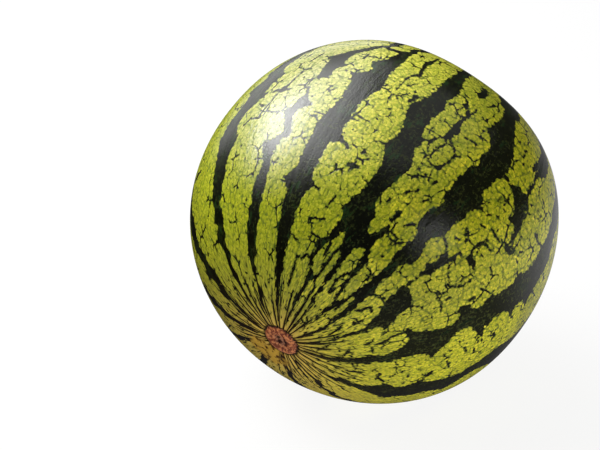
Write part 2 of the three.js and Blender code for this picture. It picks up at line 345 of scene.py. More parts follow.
# Light cells that stand alone inside a dark mark.
LIGHT_CELLS = [
    [(79.5, 57.9, 0.9), (79.7, 58.4, 0.9)],
    [(80.3, 70.9, 0.9), (80.2, 72.5, 0.9)],
    [(91, 67.4, 1), (91.1, 68.1, 1)],
    [(104.3, 63.8, 0.7), (106, 64.2, 0.5)],
    [(61.6, 95.2, 0.9), (61.7, 96.4, 0.9)],
    [(63.4, 58.7, 2.2), (63.5, 58.9, 2.2)],
]

# Thin veins and small holes inside the light bands of the shown side.
VEINS = [
    [(69.5, -29.5, 0.6), (71.8, -27, 0.7), (71.6, -23, 0.7)],
    [(71.6, -23.6, 0.6), (74.5, -23.1, 0.8), (77.7, -21.8, 0.6), (81.6, -21.2, 0.8)],
    [(76.1, -24, 0.9), (77.3, -27, 0.6)],
    [(83.6, -19.6, 1), (86.4, -18.8, 0.8), (88.6, -18.6, 0.7), (91.6, -17.2, 0.6)],
    [(96.4, -18.8, 0.5), (98.2, -18.4, 0.7), (101.4, -17.5, 1)],
    [(84.3, -11.6, 0.5), (87.3, -12, 0.5), (88.6, -11.2, 0.6)],
    [(75.7, -3.4, 0.5), (75.6, -0.4, 0.6)],
    [(83.9, -3.6, 0.5), (86.1, -2, 0.6)],
    [(101.4, -22.5, 1), (99, -22.9, 0.5)],
    [(93.9, -16.1, 0.6), (92.6, -16.2, 0.5)],
    [(39.7, 6, 0.6), (38.9, 8.5, 0.6), (38, 11.5, 0.6)],
    [(42, 19.5, 0.9), (42.1, 15.5, 0.6)],
    [(44.2, 12.6, 0.8), (45.5, 12.2, 0.9), (46.4, 14, 0.6), (46.6, 16, 0.6), (47.6, 17.6, 0.6)],
    [(50.2, 16.2, 0.6), (52.8, 16.8, 0.6), (54.5, 17.2, 0.6)],
    [(52.9, 22.5, 0.8), (53.5, 20, 0.5)],
    [(54.3, 7.5, 0.9), (54.2, 11, 0.6)],
    [(64.2, 15.2, 0.8), (64.4, 16.9, 2.1), (64.8, 18.6, 0.8)],
    [(62.4, 16.9, 0.5), (64.4, 16.9, 1.5), (66, 17.4, 0.6)],
    [(69.9, 8.4, 1.2), (69.7, 10, 1), (69.1, 12, 0.8), (67.6, 13.1, 0.6)],
    [(68.8, 17.1, 0.9), (69.9, 17.3, 0.9), (69.2, 19.2, 0.6)],
    [(74.6, 22, 0.9), (74.9, 20, 0.6), (74.4, 18.6, 0.5)],
    [(77.4, 7.8, 0.6), (77.8, 10.8, 0.5)],
    [(62.6, 24, 0.7), (62.9, 22, 0.6)],
    [(93.2, 10.1, 0.7), (95, 11.3, 0.4)],
    [(97.8, 16.1, 0.6), (100, 17.2, 0.6)],
    [(94, 13.8, 0.5), (99, 13.9, 0.5), (102, 14.2, 0.6), (104.6, 15.3, 0.7)],
    [(104.2, 16.4, 1.2), (106, 16, 1.1), (109, 15.2, 1), (112, 14.6, 1.2), (114.5, 14.6, 1.6)],
    [(116, 14.7, 1.4), (118, 15, 0.9), (124, 14.4, 0.7)],
    [(86, 16, 0.7), (86.4, 16.4, 0.7)],
    [(38.2, 24.9, 0.5), (40, 24.7, 0.8), (42.4, 24.5, 1)],
    [(23.2, 25, 0.6), (23.8, 27, 0.6), (23, 29, 0.6)],
    [(22.4, 29.2, 0.5), (25, 29.4, 0.7), (28.6, 29.2, 0.6), (30.2, 27, 0.7), (34.4, 27.8, 0.7),
     (38, 27.6, 0.7), (40.7, 28, 0.7), (42.8, 28.8, 0.9)],
    [(24, 13, 0.7), (28, 13.1, 0.8), (31.9, 13.2, 0.7), (34, 12.6, 0.5)],
    [(33.8, 15.3, 0.6), (36, 17.2, 0.7), (35.4, 18.8, 0.8)],
    [(30, 37.5, 0.6), (31.9, 36.9, 0.6), (34.4, 36.5, 0.6), (36.9, 37, 0.7), (38.6, 38.4, 0.8)],
    [(30.2, 38.3, 0.8), (32.4, 38.4, 0.8)],
    [(27, 47.8, 0.6), (31, 47.3, 0.6), (34.6, 47, 0.7)],
    [(43.8, 41.5, 0.6), (43.1, 44.5, 0.6), (42.2, 46.8, 0.7)],
    [(55.2, 39.5, 0.8), (55.3, 43, 0.5), (55.7, 44.3, 0.4)],
    [(61.5, 44.2, 0.8), (59.5, 42.2, 0.6), (58.6, 41.7, 0.5)],
    [(61, 32.6, 0.7), (62.6, 32.7, 0.7)],
    [(65.3, 35.3, 0.7), (67.2, 35.9, 0.7), (68.4, 37.6, 0.6), (70, 38, 0.6)],
    [(67.2, 40.9, 0.6), (69.2, 42.2, 0.7), (68.8, 43.4, 0.6)],
    [(73.4, 39.9, 0.8), (75, 40.7, 0.8)],
    [(74.2, 36.8, 0.8), (74.4, 36.4, 0.8)],
    [(74.2, 34, 1), (74.6, 34.3, 0.9)],
    [(52.2, 42.8, 0.7), (53.7, 42.2, 0.7)],
    [(48.4, 43.2, 0.8), (48.7, 43.5, 0.8)],
    [(76.9, 36.1, 0.6), (78, 35.9, 0.6), (78.6, 34.5, 0.7), (80, 33.8, 0.6), (81.3, 32.8, 0.6),
     (83.6, 31.8, 0.7)],
    [(78, 35.9, 0.5), (78, 38, 0.6), (78.7, 38.5, 1.7), (79.8, 38.8, 0.8), (82.8, 39.9, 0.7),
     (85.5, 39.9, 0.7), (86.1, 41.5, 0.5)],
    [(85.6, 39.9, 0.6), (87.3, 38.4, 0.9), (88, 36.8, 0.9), (89.2, 35.7, 1)],
    [(98.2, 32.8, 0.5), (100.5, 32.4, 0.5), (102.8, 33.4, 0.6)],
    [(92.7, 39.2, 0.5), (93.6, 41.5, 0.6), (93.7, 42.7, 0.9), (92.6, 43.8, 0.5)],
    [(99.6, 42.3, 0.9), (100, 42.6, 0.9)],
    [(102, 36.5, 0.6), (104.4, 37.2, 0.6), (106.7, 36.8, 0.6)],
    [(110.5, 39.2, 0.5), (112, 40.3, 0.5), (114.8, 41.3, 1.1)],
    [(39.6, 53, 0.7), (39.9, 55.4, 0.6), (41.2, 57.6, 0.6)],
    [(63.2, 57, 0.6), (64.2, 55.6, 0.6), (64.5, 53.7, 0.7)],
    [(62.4, 61, 0.6), (60.2, 62.4, 0.5), (58.8, 65.2, 0.5), (57.6, 67.3, 0.7), (59.5, 69.1, 0.7)],
    [(54.7, 66.9, 0.8), (53.8, 67.4, 0.7), (53.3, 69.2, 0.6), (53.7, 71.5, 0.6), (52.6, 74.2, 0.7)],
    [(55.3, 71.2, 0.7), (56.5, 71.3, 0.7)],
    [(67.2, 56.4, 0.7), (67.8, 57.5, 0.7)],
    [(71.5, 56.6, 0.8), (70.3, 57.5, 0.8)],
    [(74, 63.4, 0.7), (74.5, 64.5, 0.7)],
    [(75.5, 58.9, 0.6), (76.1, 60.6, 0.6)],
    [(77.8, 62.5, 0.8), (77.4, 65.2, 0.8), (77.6, 67.2, 0.8)],
    [(71.3, 70.8, 0.6), (70.7, 72.6, 0.6)],
    [(60.9, 76.5, 0.9), (63, 76.9, 0.9)],
    [(66.5, 74, 0.6), (66.8, 74.6, 0.6)],
    [(48.4, 73.6, 0.6), (48.7, 73.9, 0.6)],
    [(41, 76.6, 0.9), (36.8, 76.9, 0.6), (35.3, 78.5, 0.6), (34, 80.8, 0.5)],
    [(78.7, 81.5, 0.7), (79.2, 79, 0.5)],
    [(82.3, 75.4, 0.5), (83.2, 76.2, 0.7)],
    [(80.3, 77, 0.6), (80.2, 78, 0.6)],
    [(85.2, 69.6, 0.6), (85.3, 72.4, 0.4)],
    [(81.8, 61.2, 0.9), (81.9, 61.6, 0.8)],
    [(84.6, 61.4, 0.7), (84.8, 61.8, 0.8)],
    [(85.2, 58.3, 0.6), (86.7, 58.4, 0.6)],
    [(96.4, 74, 0.8), (96.6, 74.5, 0.7)],
    [(94.6, 73.6, 0.7), (95, 73.8, 0.7)],
    [(100.7, 71.2, 0.7), (100.2, 73.5, 0.7)],
    [(102, 58.5, 0.9), (102.3, 59, 0.8)],
    [(104.2, 57.3, 0.8), (105.4, 57.6, 0.8)],
    [(106.4, 57.3, 0.7), (107.8, 57.7, 0.8)],
    [(107, 53.8, 0.6), (108.6, 54.2, 0.7)],
    [(19.7, 63.8, 0.6), (21.9, 62.5, 0.6), (24.4, 60.9, 0.7), (25.6, 60, 0.6)],
    [(28.8, 61.8, 0.9), (29.6, 60.4, 0.6)],
    [(28.8, 62, 0.6), (31.9, 61.9, 0.7)],
    [(31.9, 55, 0.6), (33, 56.6, 0.9), (34.6, 56.4, 0.7), (36.4, 57.6, 0.8), (35.6, 60, 0.7)],
    [(18.4, 71.6, 0.5), (18.4, 74.4, 0.5), (16.9, 77.5, 0.6), (15.3, 79, 0.4)],
    [(9, 80, 0.4), (14, 80.2, 0.4)],
    [(23.8, 80.5, 0.7), (23, 83.8, 0.9), (21.6, 87, 0.8), (20.8, 91, 0.8)],
    [(28.8, 78.6, 0.9), (30.2, 78, 0.7), (31.9, 75.6, 0.5)],
    [(30.4, 80.6, 0.6), (30, 85.6, 0.6)],
    [(32, 79.8, 0.6), (33.8, 79.4, 0.6), (36.3, 77.5, 0.7)],
    [(23.4, 96.6, 0.9), (23.8, 102, 0.6)],
    [(21.5, 109, 0.6), (23.8, 107.4, 0.9), (26.2, 106.4, 1.1)],
    [(22, 111.5, 0.7), (22.6, 113, 0.6)],
    [(24.8, 115.6, 0.9), (24.9, 116.6, 0.9)],
    [(30.5, 100, 0.6), (29.3, 103, 0.7)],
    [(36, 94.6, 0.5), (36.6, 97, 0.6)],
    [(35.8, 105, 0.6), (34.6, 107.6, 0.7)],
    [(37.8, 103.2, 0.7), (38.4, 102, 0.7)],
    [(39.8, 106.6, 0.9), (39.8, 107.4, 0.9)],
    [(39, 112.6, 0.9), (39.1, 113, 0.9)],
    [(42.8, 101.6, 0.6), (42.9, 102.4, 0.6)],
    [(51, 100, 0.6), (51.6, 102.6, 0.9), (51.9, 105, 0.6)],
    [(56.5, 96, 0.6), (57.2, 98.7, 0.7)],
    [(59.8, 99.5, 0.7), (59.9, 102, 0.6)],
    [(66.6, 96.8, 0.8), (67.2, 98.6, 0.9)],
    [(58.5, 104.2, 0.6), (58.8, 105.2, 0.6)],
    [(55, 91.4, 0.8), (55.2, 92, 0.7)],
    [(50.1, 95, 0.6), (50.2, 97.4, 0.5)],
    [(74, 95.6, 0.7), (75, 97, 0.5)],
]

# Marks of the hidden side, placed by a rule. Places are in degrees and half widths in millimetres.
HIDDEN_STRIPES = (186, 213, 241, 267, 294)  # turns of their middles
HIDDEN_EDGES = range(8, 176, 6)  # where along a stripe its edges have a point
HIDDEN_HALF_WIDTH = 8
TIP_HALF_WIDTH = 0.7
TAPER = 1.2  # more than 1 makes a stripe's ends more slender
UNEVENNESS = (0.7, 1.2)  # shares of the half width that an edge lies between
SWAYS = ((2.4, 17), (1.2, 7))  # waves of a stripe's middle, as their height and how slowly they run
HIDDEN_SPURS = range(34, 150, 13)  # about where along a stripe it has a spur
SPUR_SHIFT = (-4, 4)  # along, of each of its ends
SPUR_REACH = (7, 12)  # from the stripe's middle
SPUR_HALF_WIDTH = 2
LOOSE_SPOTS = 40  # dark spots between the stripes
SPOTS_ALONG = (25, 155)
SPOTS_TURN = (168, 318)
SPOT_HALF_WIDTH = (1.2, 2.4)
END_HALF_WIDTH = 0.9  # at the far end of a spur or spot
SEED = 7

PER_DEGREE = math.radians(GIRTH_RADIUS)  # millimetres for a degree of the girth
FARTHEST = 12  # distances past this one are all the same to the colours
CORNER_CUT = 0.2  # share of an edge that is cut off at each corner of an outline
LEAST_GIRTH = 0.02  # share of the girth's radius, so that nothing is divided by 0 at a tip
TINY = 1e-9


def wrapped(degrees):
    return (degrees + 180) % 360 - 180


def round_girth(along):
    """Share of the girth's radius that the rind has at an angle along it."""
    return np.maximum(np.sin(np.radians(along)), LEAST_GIRTH)


def beside(mark, along, turn):
    """Which points may lie within the farthest distance of a mark, their places beside its middle turn, and
    that turn."""
    places = np.array([place[:2] for place in mark])
    first, last = places.min(axis=0), places.max(axis=0)
    middle = (first[1] + last[1]) / 2
    margin = FARTHEST / PER_DEGREE + 1
    near = (along > first[0] - margin) & (along < last[0] + margin)
    near &= np.abs(wrapped(turn - middle)) < (last[1] - first[1]) / 2 + margin / round_girth(along)
    return near, along[near], wrapped(turn[near] - middle), middle


def to_segment(start, end, along, aside):
    """Distance in millimetres from points to a straight segment, and the share of it passed at its foot."""
    shrink = PER_DEGREE * round_girth(along)
    x = (aside - start[1]) * shrink
    y = (along - start[0]) * PER_DEGREE
    to_x = (end[1] - start[1]) * shrink
    to_y = (end[0] - start[0]) * PER_DEGREE
    share = np.clip((x * to_x + y * to_y) / np.maximum(to_x ** 2 + to_y ** 2, TINY), 0, 1)
    return np.hypot(x - share * to_x, y - share * to_y), share


def rounded(outline):
    """The same closed outline with every corner cut once."""
    points = np.array(outline, float)
    after = np.roll(points, -1, axis=0)
    cuts = [points * (1 - share) + after * share for share in (CORNER_CUT, 1 - CORNER_CUT)]
    return np.stack(cuts, 1).reshape(-1, 2)


def distance_to_outlines(outlines, along, turn):
    """Distance in millimetres from points of the rind to the nearest closed outline, less than 0 in it."""
    nearest = np.full(along.shape, float(FARTHEST))
    for outline in outlines:
        near, there, aside, middle = beside(outline, along, turn)
        corners = rounded(outline) - (0, middle)
        inside = np.zeros(there.shape, bool)
        distance = np.full(there.shape, float(FARTHEST))
        for start, end in zip(corners, np.roll(corners, -1, axis=0)):
            distance = np.minimum(distance, to_segment(start, end, there, aside)[0])
            if start[0] != end[0]:
                crosses = (start[0] > there) != (end[0] > there)
                crossing = start[1] + (there - start[0]) / (end[0] - start[0]) * (end[1] - start[1])
                inside ^= crosses & (aside < crossing)
        nearest[near] = np.minimum(nearest[near], np.where(inside, -distance, distance))
    return nearest


def distance_to_strokes(strokes, along, turn):
    """Distance in millimetres from points of the rind to the nearest stroke's edge, less than 0 in it."""
    nearest = np.full(along.shape, float(FARTHEST))
    for stroke in strokes:
        near, there, aside, middle = beside(stroke, along, turn)
        for start, end in zip(stroke[:-1], stroke[1:]):
            places = ((point[0], point[1] - middle) for point in (start, end))
            distance, share = to_segment(*places, there, aside)
            distance = distance - start[2] - share * (end[2] - start[2])
            nearest[near] = np.minimum(nearest[near], distance)
    return nearest


def hidden_stripe(draw, middle):
    """Outline of a stripe that sways and has uneven edges."""
    starts = draw.uniform(0, 2 * math.pi, len(SWAYS))
    edges = {-1: [], 1: []}
    for along in HIDDEN_EDGES:
        narrowing = math.sin(math.radians(along)) ** TAPER
        shift = sum(height * math.sin(along / pace + start) for (height, pace), start in zip(SWAYS, starts))
        for side, edge in edges.items():
            width = TIP_HALF_WIDTH + HIDDEN_HALF_WIDTH * narrowing * draw.uniform(*UNEVENNESS)
            turn = middle + shift * narrowing + side * width / (PER_DEGREE * round_girth(along))
            edge.append((along, turn))
    return edges[-1] + edges[1][::-1]


def hidden_spurs(draw, middle):
    """Short strokes that stick out of a stripe to one side or the other."""
    spurs = []
    for place in HIDDEN_SPURS:
        along = place + draw.uniform(*SPUR_SHIFT)
        side = draw.choice([-1, 1])
        turn = middle + side * draw.uniform(*SPUR_REACH)
        end = (along + draw.uniform(*SPUR_SHIFT), turn, END_HALF_WIDTH)
        spurs.append([(along, middle, SPUR_HALF_WIDTH), end])
    return spurs


def loose_spots(draw):
    spots = []
    for _ in range(LOOSE_SPOTS):
        along = draw.uniform(*SPOTS_ALONG)
        turn = draw.uniform(*SPOTS_TURN)
        half_width = draw.uniform(*SPOT_HALF_WIDTH)
        end = (along + draw.uniform(-5, 5), turn + draw.uniform(-2, 2), END_HALF_WIDTH)
        spots.append([(along, turn, half_width), end])
    return spots


def hidden_marks():
    """Outlines of the hidden side's stripes, and the strokes on them and between them."""
    draw = np.random.default_rng(SEED)
    outlines = []
    strokes = []
    for middle in HIDDEN_STRIPES:
        outlines.append(hidden_stripe(draw, middle))
        strokes += hidden_spurs(draw, middle)
    return outlines, strokes + loose_spots(draw)


def stripe_depth(along, turn):
    """How far inside a light band each point lies, in millimetres, less than 0 in a dark stripe."""
    outlines, strokes = hidden_marks()
    outlines += [left + right[::-1] for left, right in DARK_STRIPES.values()]
    depth = distance_to_outlines(outlines, along, turn)
    depth = np.maximum(depth, -distance_to_outlines(LIGHT_ISLANDS.values(), along, turn))
    depth = np.minimum(depth, distance_to_strokes(DARK_SPURS + strokes, along, turn))
    return np.maximum(depth, -distance_to_strokes(LIGHT_CELLS, along, turn))


# ---------------------------------------------------------------- where the rind's looks change

WARM_SIDE = 110  # turn of the side that faced the sun
GOLD_SIDE = 205  # turn of the side where the gold spreads farthest
GOLD_REACH = (17, 77)  # on the other side, and on that side
PAINTED_TOP_LIGHT_PLACE = (6, 28)  # turn of the middle of the painted light along the top, and its half width
# turn of the painted highlight's middle on the left shoulder, and its half width
SHOULDER_PAINTED_HIGHLIGHT = (-14, 18)
BACK_BLOOM = (250, 40)
SCAB_PLACE = (23, 15)  # distance of its middle from the blossom end, and its half width
SCAB_TURN = (218, 42)


def facing(turn, side):
    """1 where the rind faces a side of the fruit, and 0 where it faces away."""
    return 0.5 + 0.5 * np.cos(np.radians(turn - side))


def bell_round(turn, place):
    middle, half_width = place
    return bell(wrapped(turn - middle), 0, half_width)


def between(along, start, full, fading, end):
    """1 from full to fading, and 0 before the start and past the end."""
    return smoothstep(along, start, full) * (1 - smoothstep(along, fading, end))


def freedom(along, turn):
    """How far the stripes' edges are left to the pattern, 1 where no outline above gives their lobes."""
    stem_half = smoothstep(along, 106, 118)
    far_side = smoothstep(np.abs(wrapped(turn - 48)), 86, 98)
    lower_left = smoothstep(-wrapped(turn), -3, 6) * (1 - smoothstep(along, 44, 54))
    return np.maximum.reduce([stem_half, far_side, lower_left])


def gold(along, turn):
    """The gold that spreads from the blossom end, farthest on the fruit's underside."""
    from_end = np.radians(along) * BLOSSOM_LENGTH
    least, most = GOLD_REACH
    reach = least + (most - least) * facing(turn, GOLD_SIDE) ** 3
    return np.exp(-np.maximum(from_end - BUTTON_RADIUS, 0) / reach)


def scab(along, turn):
    """Where the lumpy cork beside the blossom scar is, 1 in its middle."""
    return bell(np.radians(along) * BLOSSOM_LENGTH, *SCAB_PLACE) * bell_round(turn, SCAB_TURN)


def painted_top_light(along, turn):
    """Painted light: where the light bands are made brightest, along the fruit's top, which faces the light
    from above.
    """
    return between(along, 45, 75, 115, 160) * bell_round(turn, PAINTED_TOP_LIGHT_PLACE)


def painted_highlight_and_bloom(along, turn):
    """Painted highlight and pale wax: a pale patch thick high on the left shoulder, painted where the key
    light's highlight falls, and a thinner pale waxy coat on the far side.
    """
    # the shoulder part is a painted highlight, the far-side part pale wax
    shoulder = between(along, 45, 70, 100, 140) * bell_round(turn, SHOULDER_PAINTED_HIGHLIGHT)
    back = bell(along, 100, 30) * bell_round(turn, BACK_BLOOM)
    return 0.7 * shoulder + 0.4 * back


def rind_values(along, turn):
    """What the material is told at each point of the rind."""
    return {
        "along": along,
        "stripe_depth": stripe_depth(along, turn),
        "vein_depth": distance_to_strokes(VEINS, along, turn),
        "freedom": freedom(along, turn),
        "warmth": facing(turn, WARM_SIDE),
        "gold": gold(along, turn),
        # the next two are painted light: brighter along the top, and a painted highlight on the left
        # shoulder, with pale wax on the far side
        "painted_top_light": painted_top_light(along, turn),
        "painted_highlight_and_bloom": painted_highlight_and_bloom(along, turn),
        "scab": scab(along, turn),
    }


# ---------------------------------------------------------------- skin

LONG_CELLS = (14, 46)  # degrees from an end between which the pattern's cells get their plain length
CELLS_AT_END = 0.5  # share of the pattern's plain length there
PATTERN_STEPS = 721


def ring_angles():
    angles = []
    along = FINE_STEP
    while along < math.pi - FINE_STEP:
        angles.append(along)
        from_end = min(along, math.pi - along)
        widest = WIDE_STEP if along < SHOWN_ALONG else HIDDEN_STEP
        along += min(widest, FINE_STEP + STEP_GROWTH * from_end)
    return angles


def column_angles():
    """Degrees round the fruit, close together where it is shown. They start and end on the underside."""
    hidden = 360 - SHOWN_TO + SHOWN_FROM
    before = np.linspace(-180, SHOWN_FROM, HIDDEN_SIDES * (180 + SHOWN_FROM) // hidden, endpoint=False)
    shown = np.linspace(SHOWN_FROM, SHOWN_TO, SHOWN_SIDES, endpoint=False)
    after = np.linspace(SHOWN_TO, 180, HIDDEN_SIDES * (180 - SHOWN_TO) // hidden, endpoint=False)
    return np.concatenate([before, shown, after])


def skin_faces(rings, sides):
    """Four-sided faces between rings, and a fan of triangles at each tip, as lists of point numbers."""
    corner = 1 + np.arange(rings * sides).reshape(rings, sides)
    after = np.roll(corner, -1, axis=1)
    between_rings = np.stack([corner[:-1], after[:-1], after[1:], corner[1:]], -1).reshape(-1, 4)
    tip = 1 + rings * sides
    blossom_fan = [(0, second, first) for first, second in zip(corner[0].tolist(), after[0].tolist())]
    stem_fan = [(tip, first, second) for first, second in zip(corner[-1].tolist(), after[-1].tolist())]
    return between_rings.tolist() + blossom_fan + stem_fan


def add_values(mesh, name, values):
    mesh.attributes.new(name, "FLOAT", "POINT").data.foreach_set("value", values.astype(np.float32))


def pattern_length(along):
    """Distance along the rind for the pattern, shortened near both ends, where its cells are long."""
    steps = np.linspace(0, 180, PATTERN_STEPS)
    rate = CELLS_AT_END + (1 - CELLS_AT_END) * smoothstep(np.minimum(steps, 180 - steps), *LONG_CELLS)
    total = np.concatenate([[0], np.cumsum((rate[1:] + rate[:-1]) / 2 * np.diff(steps))])
    return np.interp(along, steps, total) * PER_DEGREE


def add_pattern_map(mesh, along, turn):
    """A flat map of the rind in millimetres, which the pattern is drawn on. Its seam is on the underside."""
    vertex = np.empty(len(mesh.loops), int)
    mesh.loops.foreach_get("vertex_index", vertex)
    sizes = np.empty(len(mesh.polygons), int)
    mesh.polygons.foreach_get("loop_total", sizes)
    face = np.repeat(np.arange(len(sizes)), sizes)
    across = turn[vertex].copy()
    tips = (vertex == 0) | (vertex == len(mesh.vertices) - 1)
    lowest = np.full(len(sizes), np.inf)
    highest = np.full(len(sizes), -np.inf)
    np.minimum.at(lowest, face[~tips], across[~tips])
    np.maximum.at(highest, face[~tips], across[~tips])
    over_seam = (highest - lowest > 180)[face]
    across[over_seam & (across < 0)] += 360
    across[tips] = ((lowest + highest) / 2)[face[tips]]
    places = np.stack([across * PER_DEGREE, pattern_length(along)[vertex]], -1)
    layer = mesh.uv_layers.new(name="pattern")
    layer.uv.foreach_set("vector", places.astype(np.float32).ravel())


def make_skin():
    rings = ring_angles()
    columns = column_angles()
    along = np.concatenate([[0], np.repeat(rings, len(columns)), [math.pi]])
    turn = np.concatenate([[0], np.tile(np.radians(columns), len(rings)), [0]])
    low, high = (np.array(corner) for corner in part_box("watermelon"))
    points = np.clip(rind_points(along, turn) * MM, low, high)

    mesh = bpy.data.meshes.new("watermelon_skin")
    mesh.from_pydata(points.tolist(), [], skin_faces(len(rings), len(columns)))
    mesh.polygons.foreach_set("use_smooth", [True] * len(mesh.polygons))
    along = np.degrees(along)
    turn = np.degrees(turn)
    for name, values in rind_values(along, turn).items():
        add_values(mesh, name, values)
    add_pattern_map(mesh, along, turn)
    mesh.materials.append(rind_material())
    mesh.update()

    skin = bpy.data.objects.new("watermelon_skin", mesh)
    bpy.context.scene.collection.objects.link(skin)
    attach(skin, "root")
    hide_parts("watermelon")


# ---------------------------------------------------------------- material

# Sizes of what the pattern is made of
LOBE = 9
SMALL_LOBE = 4.6
GRAIN = 2.5
SPECKLE = 2.2
HOLE_SPACING = 8
NEAR_LOBE = 7  # near the blossom scar, on a map that is stretched by the next line
NEAR_STRETCH = (0.35, 1.6, 1)
RADIAL_SPACING = 19

LIGHT_GREEN = (0.42, 0.44, 0.022)
LIGHT_YELLOW = (0.75, 0.69, 0.030)
LIGHT_OLIVE = (0.40, 0.40, 0.010)
# painted light: the lighter colour of the light bands along the top
PAINTED_TOP_LIGHT = (0.80, 0.77, 0.09)
# pale colour of the painted highlight on the left shoulder, and of the waxy coat on the far side
PAINTED_HIGHLIGHT_AND_BLOOM = (0.46, 0.44, 0.24)
LIFT = (1.32, 1.26, 1.25)  # multiplies a light colour in the middle of a grain
SHADE = (0.60, 0.72, 0.45)  # and between grains
FRINGE = (0.09, 0.14, 0.016)  # green round all that is dark
GOLD = (0.95, 0.62, 0.11)
SCAB = (0.72, 0.42, 0.04)
# painted shade between the scab's lumps, which have no relief
SCAB_PAINTED_SHADE = (0.14, 0.055, 0.006)
DARK = (0.004, 0.0055, 0.0012)
DARK_FLECK = (0.032, 0.042, 0.008)
DARK_OLIVE = (0.022, 0.026, 0.004)  # on the side that faced the sun
OLIVE_FLECK = (0.075, 0.088, 0.015)
WISP = (0.014, 0.040, 0.008)
DARK_BROWN = (0.060, 0.018, 0.0005)  # near the blossom scar
RING_DARK = (0.26, 0.030, 0.003)
RING_LIGHT = (0.84, 0.28, 0.075)
HOLLOW_DARK = (0.05, 0.006, 0.001)
HOLLOW_LIGHT = (0.62, 0.24, 0.11)
CREASE = (0.03, 0.012, 0.005)
BARK_DARK = (0.09, 0.06, 0.025)
BARK_LIGHT = (0.27, 0.19, 0.09)

WAX_IOR = 1.6
ROUGHNESS = 0.17
WORN = 0.12  # more where the wax is worn
DULL = 0.35  # more on cork and bark
BUMP_HEIGHT = 0.2
BUMP_STRENGTH = 0.6


class Graph:
    """Short calls for the nodes of one material. They take numbers or sockets, and most give a socket."""

    def __init__(self, name):
        self.material = bpy.data.materials.new(name)
        self.material.use_nodes = True
        self.tree = self.material.node_tree
        self.tree.nodes.clear()

    def set(self, socket, value):
        if isinstance(value, bpy.types.NodeSocket):
            self.tree.links.new(value, socket)
        else:
            socket.default_value = value

    def node(self, kind, inputs=None, **settings):
        node = self.tree.nodes.new("ShaderNode" + kind)
        for key, value in settings.items():
            setattr(node, key, value)
        for key, value in (inputs or {}).items():
            self.set(node.inputs[key], value)
        return node

    def value(self, name):
        return self.node("Attribute", attribute_name=name).outputs["Fac"]

    def math(self, operation, first, second=0.0, third=0.0):
        return self.node("Math", {0: first, 1: second, 2: third}, operation=operation).outputs[0]

    def all_of(self, operation, values):
        total, *others = values
        for value in others:
            total = self.math(operation, total, value)
        return total

    def add(self, *values):
        return self.all_of("ADD", values)

    def times(self, *values):
        return self.all_of("MULTIPLY", values)

    def line(self, value, rate, start=0.0):
        """The value times the rate, plus the start."""
        return self.math("MULTIPLY_ADD", value, rate, start)

    def ramp(self, value, low, high, to_low=0.0, to_high=1.0):
        """A smooth step: to_low where the value is low, and to_high where it is high."""
        inputs = {"Value": value, "From Min": low, "From Max": high, "To Min": to_low, "To Max": to_high}
        return self.node("MapRange", inputs, interpolation_type="SMOOTHSTEP").outputs[0]

    def mix(self, share, first, second, blend="MIX"):
        """Two colours mixed, with that share of the second one."""
        node = self.node("Mix", {0: share}, data_type="RGBA", blend_type=blend)
        for key, colour in ((6, first), (7, second)):
            self.set(node.inputs[key], (*colour, 1) if isinstance(colour, tuple) else colour)
        return node.outputs[2]

    def channel(self, colour):
        """The red of a cell's own colour, which is a random number."""
        return self.node("SeparateColor", {0: colour}).outputs[0]

    def vector(self, operation, first, second):
        return self.node("VectorMath", {0: first, 1: second}, operation=operation).outputs[0]

    def stretched(self, place, stretch):
        return self.vector("MULTIPLY", place, stretch)

    def noise(self, place, size, detail=2.0, roughness=0.5, dimensions="2D", output="Fac"):
        inputs = {"Vector": place, "Scale": 1 / size, "Detail": detail, "Roughness": roughness}
        return self.node("TexNoise", inputs, noise_dimensions=dimensions).outputs[output]

    def cells(self, place, size, feature="F1"):
        inputs = {"Vector": place, "Scale": 1 / size}
        return self.node("TexVoronoi", inputs, feature=feature, voronoi_dimensions="2D").outputs

    def border(self, place, size):
        """Distance to the nearest border of the same cells, as a share of their size."""
        return self.cells(place, size, "DISTANCE_TO_EDGE")["Distance"]

    def past(self, share, size, half_width):
        """Distance past the edge of a mark, where its middle is a share of a size away."""
        return self.math("SUBTRACT", self.math("MULTIPLY", share, size), half_width)

    def shaken(self, place, size, amount):
        """Places moved a little to and fro, so that what is drawn on them isn't regular."""
        shake = self.vector("SUBTRACT", self.noise(place, size, output="Color"), (0.5, 0.5, 0.5))
        return self.vector("ADD", place, self.stretched(shake, (amount, amount, amount)))


